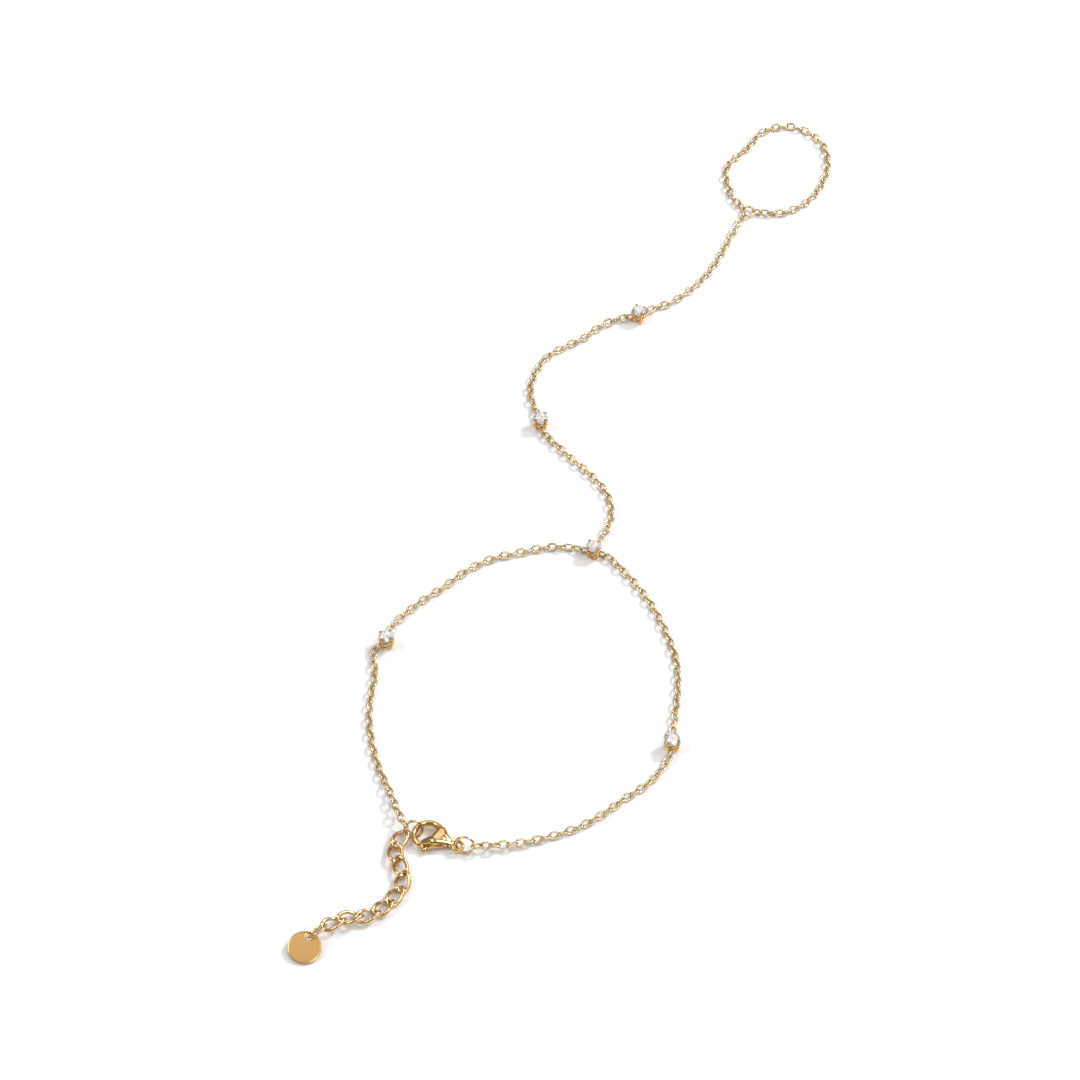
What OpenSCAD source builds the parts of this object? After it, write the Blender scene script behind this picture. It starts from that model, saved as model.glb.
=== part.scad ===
// Hand chain bracelet: a wrist chain and a finger loop of fine cable chain,
// joined over the back of the hand and set with five claw-set round stones.
// It lies on a flat surface at z = 0, with its lobster clasp closed on the end ring.

/* [Cable chain] */
// Outer length of a link
link_l = 2.18; // [2.1:0.02:2.5]
// Outer width of a link
link_w = 1.5; // [1.4:0.05:1.7]
// Wire thickness of a link
link_wire = 0.3; // [0.24:0.02:0.32]
// Free play between two links
link_play = 0.15; // [0.13:0.01:0.2]

/* [Extender chain] */
// Outer length of a curb link
curb_l = 4.45; // [4.05:0.05:4.6]
// Outer width of a curb link
curb_w = 3.1; // [2.9:0.05:3.4]
// Wire thickness of a curb link
curb_wire = 0.55; // [0.45:0.05:0.6]
// Free play between two curb links
curb_play = 0.12; // [0.12:0.01:0.25]

/* [Stones] */
// Diameter of a stone at its girdle
stone_d = 2.6; // [2.2:0.1:3]
// Diameter of the flat table
table_d = 1.5; // [1.2:0.05:1.7]
// Height of the crown over the girdle
crown_h = 0.4; // [0.3:0.02:0.5]
// Depth of the pavilion under the girdle
pavilion_h = 1.12; // [1:0.02:1.2]
// Thickness of the girdle band
girdle_h = 0.06; // [0.04:0.01:0.1]

/* [Settings] */
// Centre line diameter of the base ring
base_ring_d = 2.1; // [2:0.05:2.4]
// Wire thickness of the base ring
base_wire = 0.4; // [0.3:0.02:0.44]
// Centre line diameter of the gallery ring
gallery_d = 2.32; // [2.2:0.05:2.6]
// Wire thickness of the gallery ring
gallery_wire = 0.3; // [0.24:0.02:0.36]
// Height of the gallery ring
gallery_z = 1.85; // [1.75:0.05:2]
// Thickness of a claw
claw_d = 0.36; // [0.3:0.02:0.42]
// Height of the stone's girdle
girdle_z = 2.7; // [2.6:0.05:3]

/* [Rings] */
// Outer diameter of the finger ring
finger_ring_d = 2.75; // [2.6:0.05:3.2]
// Outer diameter of the ring in the clasp's eye
clasp_ring_d = 3.4; // [3.3:0.05:3.7]
// Outer diameter of the end ring
end_ring_d = 3.3; // [3.25:0.05:3.5]
// Outer diameter of the ring that holds the tag
tag_ring_d = 3.8; // [3.7:0.05:4.1]
// Wire thickness of the rings
ring_wire = 0.42; // [0.36:0.02:0.44]

/* [Tag] */
// Diameter of the tag
tag_d = 5.3; // [5:0.1:6]
// Thickness of the tag
tag_t = 0.5; // [0.4:0.05:0.6]
// Diameter of the hole in the tag
tag_hole_d = 1.1; // [1:0.05:1.2]
// Metal left between the hole and the rim
tag_rim = 0.3; // [0.25:0.05:0.4]

/* [Clasp] */
// Thickness of the clasp at its shoulder
clasp_t = 2.2; // [2:0.1:2.4]
// Thickness of the hook
hook_t = 1.2; // [1.1:0.05:1.3]
// Width of the hook's bar
hook_w = 1.05; // [0.95:0.05:1.15]
// Centre line radius of the hook
hook_r = 2.25; // [2.2:0.05:2.35]
// Outer diameter of the eye
eye_d = 2.3; // [2.2:0.05:2.4]
// Diameter of the hole in the eye
eye_hole_d = 1.2; // [1.15:0.05:1.25]
// Thickness of the eye
eye_t = 0.8; // [0.7:0.05:0.9]
// Reach of the lever from its rivet
lever_l = 3.88; // [3.8:0.02:3.92]
// Thickness of the lever between the cheeks
lever_t = 0.9; // [0.8:0.05:1]
// Thickness of the lever's front
lever_front_t = 1.3; // [1.1:0.05:1.4]
// Diameter of the rivet
rivet_d = 0.6; // [0.5:0.05:0.7]
// Metal of the neck above and below the lever's slot
neck_wall = 0.25; // [0.2:0.05:0.3]
// Running clearance of the lever
lever_gap = 0.06; // [0.05:0.01:0.08]

/* [Hidden] */
$fn = 48;

// Gold of the metal, a paler gold for the worn edges of the rings and the clear of the stones
gold = [0.83, 0.62, 0.33];
pale_gold = [0.9, 0.74, 0.48];
clear = [0.93, 0.93, 0.96];

// Middle of the floor that the laid bracelet covers, which becomes the origin
laid_mid = [7.46, 7.44];

// Clearance between a stone and its claws, and between a link and the ring that it hangs on
seat_gap = 0.03;
hang_gap = 0.1;

// A link of the cable chain leans to one side and the other in turn
link_lean = 45;
link_r = (link_w - link_wire) / 2;
link_pitch = link_l - 2 * link_wire - link_play;
// Height of the lowest links over the floor
floor_gap = 0.02;
// A ring that lies flat is this high, so that the upright links on it clear the floor
flat_z = link_r + link_wire / 2 + floor_gap;
// Length over which a chain comes up from the floor to a ring, and links over which it twists
low_rise = 12;
high_rise = 12;
twist_run = 4;

curb_a = (curb_l - curb_wire) / 2;
curb_b = (curb_w - curb_wire) / 2;
curb_pitch = curb_l - 2 * curb_wire - curb_play;
// The two ends of a curb link are turned out of its plane by this angle
curb_turn = 45;
curb_z = 0.78;

// Middles of the five settings on the floor, and the turn of their claws
centre_at = [9.1, -3.3];
left_at = [-25.7, -22.4];
right_at = [21.6, -43.3];
middle_at = [0.1, 25.2];
upper_at = [17.8, 50.4];
centre_turn = 35;
left_turn = 55;
right_turn = 60;
middle_turn = 45;
upper_turn = 20;

// Middles of the rings on the floor, with tilt, direction of the tilt's axis and fall of that axis
finger_ring_at = [38.5, 76.6];
finger_ring_lie = [0, 0, 0];
clasp_ring_at = [-12, -63.1];
clasp_ring_lie = [69, -11, -4.5];
end_ring_at = [-20.3, -60];
end_ring_lie = [55.5, -3, 12];
tag_ring_at = [-35, -79.1];
tag_ring_lie = [130, 49, 9.5];

tag_at = [-36.9, -81.8];
tag_tilt = 17;
tag_hole_turn = 68;

// Middle of the clasp's eye on the floor, and the direction from its eye to its nose
eye_at = [-13.2, -63];
clasp_turn = 161;
// Places in the clasp's own plane: x runs from the eye to the nose, y to the lever's side
hook_c = [5.2, -0.45];
rivet_at = [2.2, 0];
// Radius of the lever's hub, and of the slot that its sides turn in
lever_hub_r = 0.78;
slot_r = 2.2;

// Route points of the chains on the floor
clasp_to_right = [[-4, -62.5], [1, -61.1], [6, -59.2], [10.5, -56.3], [13.3, -53.9], [18, -50.2]];
right_to_centre = [[22.8, -32], [22.8, -26.8], [21.6, -21.6], [19.8, -16.6], [17.4, -11.9], [14.4, -7.5]];
centre_to_left = [[1.4, -2.1], [-3.5, -3.2], [-8.3, -4.6], [-12.6, -7.2], [-16.3, -10.6], [-20.2, -13.8]];
end_to_left = [[-24.5, -52.2], [-26.2, -47.8], [-27.4, -43.1], [-28.1, -38.3], [-28, -33.5],
    [-27.5, -29.7]];
centre_to_middle = [[12.3, 5], [11.9, 8.6], [10.3, 11.9], [8, 14.8], [5.5, 17.5], [3.1, 20.3]];
middle_to_upper = [[-1.7, 33.5], [-0.7, 37.6], [1.3, 41.1], [5, 43.8], [7.9, 45.6], [10.6, 48.1]];
upper_to_finger = [[23.7, 54.1], [26.8, 56.7], [29.5, 59.7], [31.7, 63.1], [33.5, 66.7], [35.1, 70.4]];
finger_loop = [[44, 76.2], [48.8, 78.5], [52.5, 83.7], [53.9, 89.4], [52.5, 95], [47.6, 98.6],
    [42.5, 97.6], [39, 93.1], [34.8, 87.3], [35, 83.2], [36.2, 79.4]];
extender = [[-23.2, -64.1], [-22.4, -66.4], [-21.8, -69.2], [-23.3, -72.7],
    [-25.2, -74.7], [-27.6, -76.1], [-30, -76.4]];

// Direction at an angle on the floor
function way(a) = [cos(a), sin(a)];

function unit(v) = v / norm(v);

// A ring: its middle, the radius of its centre line and of its wire, and the two directions of its plane
function ring_of(at, outer_d, wire, lie) =
    let (u = [cos(lie[2]) * cos(lie[1]), cos(lie[2]) * sin(lie[1]), -sin(lie[2])],
         v = [-sin(lie[1]), cos(lie[1]), 0],
         w = v * cos(lie[0]) + cross(u, v) * sin(lie[0]),
         r = (outer_d - wire) / 2,
         z = max(flat_z, r * norm([u.z, w.z]) + wire / 2))
    [[at.x, at.y, z], r, wire / 2, u, w];

function ring_point(ring, a) = ring[0] + ring[1] * (cos(a) * ring[3] + sin(a) * ring[4]);

function ring_wire_way(ring, a) = cos(a) * ring[4] - sin(a) * ring[3];

finger = ring_of(finger_ring_at, finger_ring_d, ring_wire, finger_ring_lie);
clasp_end = ring_of(clasp_ring_at, clasp_ring_d, ring_wire, clasp_ring_lie);
chain_end = ring_of(end_ring_at, end_ring_d, ring_wire, end_ring_lie);
tag_hold = ring_of(tag_ring_at, tag_ring_d, ring_wire, tag_ring_lie);

// The base ring of a setting, as a ring that chains hang on
function base_of(at) = ring_of(at, base_ring_d + base_wire, base_wire, [0, 0, 0]);

// Ways of a smooth curve at its points
function curve_ways(p, first, last) = [for (i = [0:len(p) - 1])
    i == 0 ? first : i == len(p) - 1 ? last :
    let (s0 = norm(p[i] - p[i - 1]), s1 = norm(p[i + 1] - p[i]))
    unit((p[i] - p[i - 1]) * s1 / s0 + (p[i + 1] - p[i]) * s0 / s1)];

// Point of a curve between two of its points, at a share t of the way
function on_span(p0, p1, w0, w1, t) =
    let (s = norm(p1 - p0), t2 = t * t, t3 = t2 * t)
    (2 * t3 - 3 * t2 + 1) * p0 + (t3 - 2 * t2 + t) * s * w0
    + (3 * t2 - 2 * t3) * p1 + (t3 - t2) * s * w1;

curve_steps = 12;

function curve_points(p, first, last) =
    let (w = curve_ways(p, first, last))
    [for (i = [0:len(p) - 2], k = [0:curve_steps - 1])
        on_span(p[i], p[i + 1], w[i], w[i + 1], k / curve_steps), p[len(p) - 1]];

function run_lengths(p) = [for (i = 0, s = 0; i < len(p);
    s = s + (i + 1 < len(p) ? norm(p[i + 1] - p[i]) : 0), i = i + 1) s];

// Height of a cable link's middle over the floor, for its lean
function low_z(lean) = link_r * abs(sin(lean)) + link_wire / 2 + floor_gap;

// Angle brought into the half turn from -90 to 90
function half_turn(a) = a - 180 * round(a / 180);

// Lean of a link that hangs square on a wire, for the link's own direction
function lean_on(wire_way, az) =
    half_turn(atan2(-(wire_way * [-sin(az), cos(az), 0]), wire_way.z));

// End of a chain: [ring, angle on the ring, direction away from the ring, rise length]
// Places of a chain's links as [middle, direction, fall, lean], from one end to the other
function link_places(end0, end1, route, pitch, reach, mid_z, leans) =
    let (a0 = ring_point(end0[0], end0[1]),
         a1 = ring_point(end1[0], end1[1]),
         p = curve_points(concat([[a0.x, a0.y]], route, [[a1.x, a1.y]]), way(end0[2]), -way(end1[2])),
         s = run_lengths(p),
         total = s[len(s) - 1],
         xs = [for (i = [0:len(p) - 1]) [s[i], p[i].x]],
         ys = [for (i = [0:len(p) - 1]) [s[i], p[i].y]],
         h0 = reach - hang_gap - end0[0][2],
         h1 = reach - hang_gap - end1[0][2],
         n = ceil((total - h0 - h1) / pitch) + 1,
         step = (total - h0 - h1) / (n - 1),
         at = function (t) [lookup(t, xs), lookup(t, ys),
            mid_z + (a0.z - mid_z) * max(0, 1 - t / end0[3])
            + (a1.z - mid_z) * max(0, 1 - (total - t) / end1[3])],
         lean0 = lean_on(ring_wire_way(end0[0], end0[1]), end0[2]),
         lean1 = lean_on(ring_wire_way(end1[0], end1[1]), end1[2] + 180),
         side = lean0 < 0 ? -1 : 1,
         base = [for (k = [0:n - 1]) leans[0] * (k % 2 == 0 ? side : -side)],
         add0 = half_turn(lean0 - leans[1] - base[0]),
         add1 = half_turn(lean1 + leans[1] - base[n - 1]))
    [for (k = [0:n - 1])
        let (t = h0 + k * step,
             c = at(t),
             d = at(t + pitch / 8) - at(t - pitch / 8),
             lean = base[k] + add0 * max(0, 1 - k / twist_run) + add1 * max(0, 1 - (n - 1 - k) / twist_run))
        [[c.x, c.y, max(c.z, low_z(lean))], atan2(d.y, d.x), -asin(d.z / norm(d)), lean]];

// Puts what follows where the laid bracelet has it
module laid() {
    translate([-laid_mid.x, -laid_mid.y, 0]) children();
}

module half_round_end(side) {
    translate([side * (link_l - link_w) / 2, 0, 0]) rotate([0, 0, side > 0 ? -90 : 90])
        rotate_extrude(angle = 180) translate([link_r, 0]) circle(d = link_wire);
}

module cable_link() {
    union() {
        half_round_end(1);
        half_round_end(-1);
        for (side = [-1, 1])
            translate([-(link_l - link_w) / 2, side * link_r, 0]) rotate([0, 90, 0])
                cylinder(h = link_l - link_w, d = link_wire);
    }
}

module cable_chain(end0, end1, route) {
    places = link_places(end0, end1, route, link_pitch, link_l / 2 - link_wire, low_z(link_lean),
        [link_lean, 0]);
    color(gold) laid() for (p = places)
        translate(p[0]) rotate([0, p[2], p[1]]) rotate([p[3], 0, 0]) cable_link();
}

module chain_clasp_to_right() {
    cable_chain([clasp_end, -3, 10, high_rise], [base_of(right_at), 263, 255, low_rise], clasp_to_right);
}

module chain_right_to_centre() {
    cable_chain([base_of(right_at), 93, 85, low_rise], [base_of(centre_at), 350, 345, low_rise],
        right_to_centre);
}

module chain_centre_to_left() {
    cable_chain([base_of(centre_at), 158, 160, low_rise], [base_of(left_at), 88, 80, low_rise],
        centre_to_left);
}

module chain_end_to_left() {
    cable_chain([chain_end, 161, 123, high_rise], [base_of(left_at), 212, 196, low_rise], end_to_left);
}

module chain_centre_to_middle() {
    cable_chain([base_of(centre_at), 72, 70, low_rise], [base_of(middle_at), 282, 288, low_rise],
        centre_to_middle);
}

module chain_middle_to_upper() {
    cable_chain([base_of(middle_at), 106, 102, low_rise], [base_of(upper_at), 176, 177, low_rise],
        middle_to_upper);
}

module chain_upper_to_finger() {
    cable_chain([base_of(upper_at), 53, 46, low_rise], [finger, 228, 240, low_rise], upper_to_finger);
}

module finger_loop_chain() {
    cable_chain([finger, -5, -5, low_rise], [finger, 135, 128, low_rise], finger_loop);
}

// A curb link is an oval of wire whose ends are turned out of its plane to opposite sides
curb_stations = 24;
curb_sides = 6;

function curb_point(t) =
    let (turn = -curb_turn * cos(t))
    [curb_a * cos(t), curb_b * sin(t) * cos(turn), curb_b * sin(t) * sin(turn)];

function curb_ring(t) =
    let (turn = -curb_turn * cos(t),
         along = unit(curb_point(t + 1) - curb_point(t - 1)),
         out = unit(cross([0, -sin(turn), cos(turn)], along)),
         up = cross(along, out))
    [for (k = [0:curb_sides - 1])
        let (a = 360 * k / curb_sides)
        curb_point(t) + (out * cos(a) + up * sin(a)) * curb_wire / 2];

module curb_link() {
    points = [for (i = [0:curb_stations - 1]) each curb_ring(360 * i / curb_stations)];
    faces = [for (i = [0:curb_stations - 1], k = [0:curb_sides - 1])
        let (j = (i + 1) % curb_stations, m = (k + 1) % curb_sides)
        each [[i * curb_sides + k, j * curb_sides + m, i * curb_sides + m],
            [i * curb_sides + k, j * curb_sides + k, j * curb_sides + m]]];
    polyhedron(points = points, faces = faces);
}

module extender_chain() {
    places = link_places([chain_end, 219, 224, high_rise], [tag_hold, 7, 6, high_rise], extender,
        curb_pitch, curb_l / 2 - curb_wire, curb_z, [0, curb_turn]);
    color(gold) laid() for (p = places)
        translate(p[0]) rotate([0, p[2], p[1]]) rotate([p[3], 0, 0]) curb_link();
}

module ring_solid(ring) {
    u = ring[3];
    w = ring[4];
    n = cross(u, w);
    color(pale_gold) laid()
        multmatrix([[u.x, w.x, n.x, ring[0].x], [u.y, w.y, n.y, ring[0].y], [u.z, w.z, n.z, ring[0].z]])
            rotate_extrude() translate([ring[1], 0]) circle(r = ring[2]);
}

module clasp_ring() {
    ring_solid(clasp_end);
}

module end_ring() {
    ring_solid(chain_end);
}

module finger_ring() {
    ring_solid(finger);
}

module tag_ring() {
    ring_solid(tag_hold);
}

module tag() {
    rest_z = tag_d / 2 * sin(tag_tilt) + tag_t / 2 * cos(tag_tilt);
    hole_r = (tag_d - tag_hole_d) / 2 - tag_rim;
    color(gold) laid() translate([tag_at.x, tag_at.y, rest_z]) rotate([tag_tilt, 0, 0]) difference() {
        cylinder(h = tag_t, d = tag_d, center = true);
        rotate([0, 0, tag_hole_turn]) translate([hole_r, 0, 0])
            cylinder(h = 2 * tag_t, d = tag_hole_d, center = true);
    }
}

// Puts the middle plane of the stone's girdle at z = 0
module in_setting(at, turn) {
    laid() translate([at.x, at.y, 0]) rotate([0, 0, turn]) children();
}

// Outline of the space that a stone needs, from its point up to its table
module stone_space() {
    r = stone_d / 2 + seat_gap;
    rotate_extrude($fn = 24) polygon([[0, girdle_z - pavilion_h - 2 * seat_gap],
        [r, girdle_z - girdle_h / 2 - seat_gap], [r, girdle_z + girdle_h / 2 + seat_gap],
        [table_d / 2 + seat_gap, girdle_z + crown_h + seat_gap], [0, girdle_z + crown_h + seat_gap]]);
}

// A round bar with round ends between two points of the claw's plane
module bar(p, q, d) {
    v = q - p;
    translate([p.x, 0, p.y]) rotate([0, atan2(v.x, v.y), 0]) cylinder(h = norm(v), d = d, $fn = 8);
    for (e = [p, q])
        translate([e.x, 0, e.y]) sphere(d = d, $fn = 10);
}

// A soldered ring of the setting
module wire_ring(d, wire) {
    rotate_extrude($fn = 24) translate([d / 2, 0]) circle(d = wire, $fn = 10);
}

module claw() {
    foot = [base_ring_d / 2 - 0.08, claw_d / 2];
    knee = [base_ring_d / 2 + 0.03, flat_z];
    seat = [stone_d / 2 + 0.06, girdle_z];
    tip = [stone_d / 2 - 0.2, girdle_z + crown_h - 0.02];
    bar(foot, knee, claw_d);
    bar(knee, seat, claw_d);
    bar(seat, tip, claw_d);
}

module setting(at, turn) {
    color(gold) in_setting(at, turn) difference() {
        union() {
            translate([0, 0, flat_z]) wire_ring(base_ring_d, base_wire);
            translate([0, 0, gallery_z]) wire_ring(gallery_d, gallery_wire);
            for (k = [0:3])
                rotate([0, 0, 90 * k]) claw();
        }
        stone_space();
    }
}

module setting_centre() {
    setting(centre_at, centre_turn);
}

module setting_left() {
    setting(left_at, left_turn);
}

module setting_right() {
    setting(right_at, right_turn);
}

module setting_middle() {
    setting(middle_at, middle_turn);
}

module setting_upper() {
    setting(upper_at, upper_turn);
}

// Round brilliant: table, eight kites and eight stars on the crown, eight kites under the girdle
module stone(at, turn) {
    r = stone_d / 2;
    half = girdle_h / 2;
    star_r = 0.8 * r;
    lower_r = 0.22 * r;
    crown_slope = (crown_h - half) / (r - table_d / 2);
    lower_slope = (pavilion_h - half) / r;
    table = [for (k = [0:7]) [table_d / 2 * cos(45 * k), table_d / 2 * sin(45 * k), crown_h]];
    star = [for (k = [0:7]) [star_r * cos(45 * k + 22.5), star_r * sin(45 * k + 22.5),
        half + (r - star_r * cos(22.5)) * crown_slope]];
    top = [for (k = [0:15]) [r * cos(22.5 * k), r * sin(22.5 * k), half]];
    bottom = [for (p = top) [p.x, p.y, -half]];
    lower = [for (k = [0:7]) [lower_r * cos(45 * k + 22.5), lower_r * sin(45 * k + 22.5),
        -half - (r - lower_r * cos(22.5)) * lower_slope]];
    points = concat(table, star, top, bottom, lower, [[0, 0, -pavilion_h]]);
    faces = concat([[7, 6, 5, 4, 3, 2, 1, 0]],
        [for (k = [0:7])
            let (next = (k + 1) % 8, back = (k + 7) % 8, g0 = 2 * k, g1 = 2 * k + 1, g2 = (2 * k + 2) % 16)
            each [[k, next, 8 + k],
                [k, 8 + k, 16 + g0, 8 + back],
                [8 + k, 16 + g1, 16 + g0],
                [8 + k, 16 + g2, 16 + g1],
                [48 + k, 32 + g0, 32 + g1],
                [48 + k, 32 + g1, 32 + g2],
                [56, 48 + back, 32 + g0, 48 + k]]],
        [for (j = [0:15])
            let (next = (j + 1) % 16)
            [16 + j, 16 + next, 32 + next, 32 + j]]);
    color(clear) in_setting(at, turn) translate([0, 0, girdle_z])
        polyhedron(points = points, faces = faces);
}

module stone_centre() {
    stone(centre_at, centre_turn);
}

module stone_left() {
    stone(left_at, left_turn);
}

module stone_right() {
    stone(right_at, right_turn);
}

module stone_middle() {
    stone(middle_at, middle_turn);
}

module stone_upper() {
    stone(upper_at, upper_turn);
}

// Puts the clasp's own plane where it lies, with its shoulder on the floor
module in_clasp() {
    laid() translate([eye_at.x, eye_at.y, clasp_t / 2]) rotate([0, 0, clasp_turn]) children();
}

// Flat shape of a bar with round ends
module flat_bar(p, q, r) {
    v = q - p;
    translate(p) rotate([0, 0, atan2(v.y, v.x)]) translate([0, -r]) square([norm(v), 2 * r]);
    for (e = [p, q])
        translate(e) circle(r = r);
}

// Flat shape of the shoulder that holds the lever
module shoulder_outline() {
    r = 0.9;
    a = rivet_at + [0.15, -0.1];
    b = rivet_at + [1.1, -1.55];
    c = rivet_at + [0.9, 0.45];
    flat_bar(a, b, r);
    flat_bar(b, c, r);
    flat_bar(c, a, r);
    polygon([a, b, c]);
}

// A lens that rounds the faces of what it is cut with
module dome(c, r, t) {
    intersection() {
        translate([c.x, c.y, t / 2 - r]) sphere(r = r, $fn = 96);
        translate([c.x, c.y, r - t / 2]) sphere(r = r, $fn = 96);
    }
}

module hook_profile() {
    cap = hook_w / 2;
    for (side = [-1, 1])
        translate([hook_r, side * (hook_t / 2 - cap)]) circle(r = cap);
    translate([hook_r - cap, cap - hook_t / 2]) square([hook_w, hook_t - hook_w]);
}

module clasp_body() {
    nose_cut = rivet_at + [2.15, 0.15];
    slot_h = lever_t + 2 * lever_gap;
    slot_back = rivet_at.x - lever_hub_r - lever_gap;
    neck_from = eye_d / 2 - 0.3;
    neck_r = slot_h / 2 + neck_wall;
    hook_from = -145;
    color(gold) in_clasp() difference() {
        union() {
            intersection() {
                linear_extrude(clasp_t, center = true) shoulder_outline();
                dome(rivet_at + [0.7, -0.5], 4, clasp_t);
            }
            translate([hook_c.x, hook_c.y, 0]) rotate([0, 0, hook_from])
                rotate_extrude(angle = 235) hook_profile();
            rotate_extrude() translate([(eye_d + eye_hole_d) / 4, 0]) {
                square([(eye_d - eye_hole_d) / 2, eye_t - 0.3], center = true);
                square([(eye_d - eye_hole_d) / 2 - 0.3, eye_t], center = true);
                for (x = [-1, 1], y = [-1, 1])
                    translate([x * ((eye_d - eye_hole_d) / 4 - 0.15), y * (eye_t / 2 - 0.15)])
                        circle(r = 0.15);
            }
            translate([neck_from, 0, 0]) rotate([0, 90, 0])
                cylinder(h = slot_back - neck_from, r1 = eye_t / 2, r2 = neck_r);
            translate([slot_back, 0, 0]) rotate([0, 90, 0])
                cylinder(h = 0.6, r1 = neck_r, r2 = 0.8 * neck_r);
        }
        intersection() {
            translate([rivet_at.x, rivet_at.y, 0]) cylinder(h = slot_h, r = slot_r, center = true);
            translate([slot_back, -5, -slot_h]) cube([10, 10, 2 * slot_h]);
        }
        translate([rivet_at.x, rivet_at.y, 0])
            cylinder(h = 2 * clasp_t, d = rivet_d + 0.04, center = true);
        intersection() {
            translate([rivet_at.x, rivet_at.y, 0])
                cylinder(h = 2 * clasp_t, r = lever_l + lever_gap, center = true);
            translate([nose_cut.x, nose_cut.y, -clasp_t]) cube([10, 10, 2 * clasp_t]);
        }
    }
}

// Flat shape of the lever, inside its reach from the rivet
module lever_outline() {
    intersection() {
        translate(rivet_at) circle(r = lever_l, $fn = 96);
        translate(rivet_at)
            polygon([[-0.5, 0.6], [3.3, 2.45], [3.9, 1.25], [1.8, -0.55], [0.8, -0.85], [-0.2, -0.78]]);
    }
    translate(rivet_at) circle(r = lever_hub_r);
}

module clasp_lever() {
    color(gold) in_clasp() difference() {
        union() {
            linear_extrude(lever_t, center = true) lever_outline();
            linear_extrude(lever_front_t, center = true) difference() {
                lever_outline();
                translate(rivet_at) circle(r = slot_r + 0.25);
            }
            translate([rivet_at.x + 2.55, rivet_at.y + 2.15, 0]) cylinder(h = lever_front_t, r = 0.45, center = true);
        }
        translate([rivet_at.x, rivet_at.y, 0])
            cylinder(h = 2 * clasp_t, d = rivet_d + 2 * lever_gap, center = true);
    }
}

module clasp_rivet() {
    color(pale_gold) in_clasp() translate([rivet_at.x, rivet_at.y, 0])
        cylinder(h = clasp_t - 0.1, d = rivet_d, center = true);
}

clasp_body();
clasp_lever();
clasp_rivet();
clasp_ring();
end_ring();
finger_ring();
tag_ring();
tag();
extender_chain();
setting_centre();
setting_left();
setting_right();
setting_middle();
setting_upper();
stone_centre();
stone_left();
stone_right();
stone_middle();
stone_upper();
chain_clasp_to_right();
chain_right_to_centre();
chain_centre_to_left();
chain_end_to_left();
chain_centre_to_middle();
chain_middle_to_upper();
chain_upper_to_finger();
finger_loop_chain();
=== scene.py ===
"""Looks of a hand chain bracelet: gold chains, claw-set clear stones, a clasp and a tag."""

import logging
import math
from collections.abc import Sequence
from dataclasses import dataclass
from enum import Enum

import bmesh
import bpy
from mathutils import Euler, Matrix, Vector

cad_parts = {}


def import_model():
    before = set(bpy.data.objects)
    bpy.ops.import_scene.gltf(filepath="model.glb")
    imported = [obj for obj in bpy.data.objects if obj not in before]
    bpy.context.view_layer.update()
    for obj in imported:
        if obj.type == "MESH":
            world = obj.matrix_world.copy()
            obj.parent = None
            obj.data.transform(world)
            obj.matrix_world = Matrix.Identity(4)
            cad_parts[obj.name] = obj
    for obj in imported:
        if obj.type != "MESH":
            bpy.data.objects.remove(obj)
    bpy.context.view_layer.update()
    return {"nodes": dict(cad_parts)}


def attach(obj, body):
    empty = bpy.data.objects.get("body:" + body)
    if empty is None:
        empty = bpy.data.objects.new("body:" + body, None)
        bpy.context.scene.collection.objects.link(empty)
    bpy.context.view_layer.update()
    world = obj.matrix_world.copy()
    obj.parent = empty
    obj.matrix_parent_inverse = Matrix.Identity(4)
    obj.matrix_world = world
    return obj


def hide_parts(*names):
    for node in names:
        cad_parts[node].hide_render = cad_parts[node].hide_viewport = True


log = logging.getLogger("hand_chain")

Point2 = tuple[float, float]
Triple = tuple[float, float, float]
Place = tuple[Vector, Euler]

# Middle of the floor that the laid bracelet covers, in its layout; it is the origin of the part
LAID_MID: Point2 = (0.00746, 0.00744)
MM = 0.001
UP = Vector((0.0, 0.0, 1.0))


class Side(Enum):
    """The two bodies of the bracelet."""

    BRACELET = "bracelet"
    LEVER = "lever"


class Slot(Enum):
    """The record's material slots."""

    CHAIN = "chain_gold"
    CLASP = "clasp_gold"
    RING = "ring_gold"
    SETTING = "setting_gold"
    STONE = "clear_stone"


class Seat(Enum):
    """Places of the five settings in the layout, in metres, and turn of their claws in degrees."""

    CENTRE = (0.0091, -0.0033, 35.0)
    LEFT = (-0.0257, -0.0224, 55.0)
    RIGHT = (0.0216, -0.0433, 60.0)
    MIDDLE = (0.0001, 0.0252, 45.0)
    UPPER = (0.0178, 0.0504, 20.0)

    @property
    def at(self) -> Point2:
        """Middle of the setting in the layout."""
        return (self.value[0], self.value[1])

    @property
    def turn(self) -> float:
        """Turn of its claws, in radians."""
        return math.radians(self.value[2])


# ---------------------------------------------------------------- nodes


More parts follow.
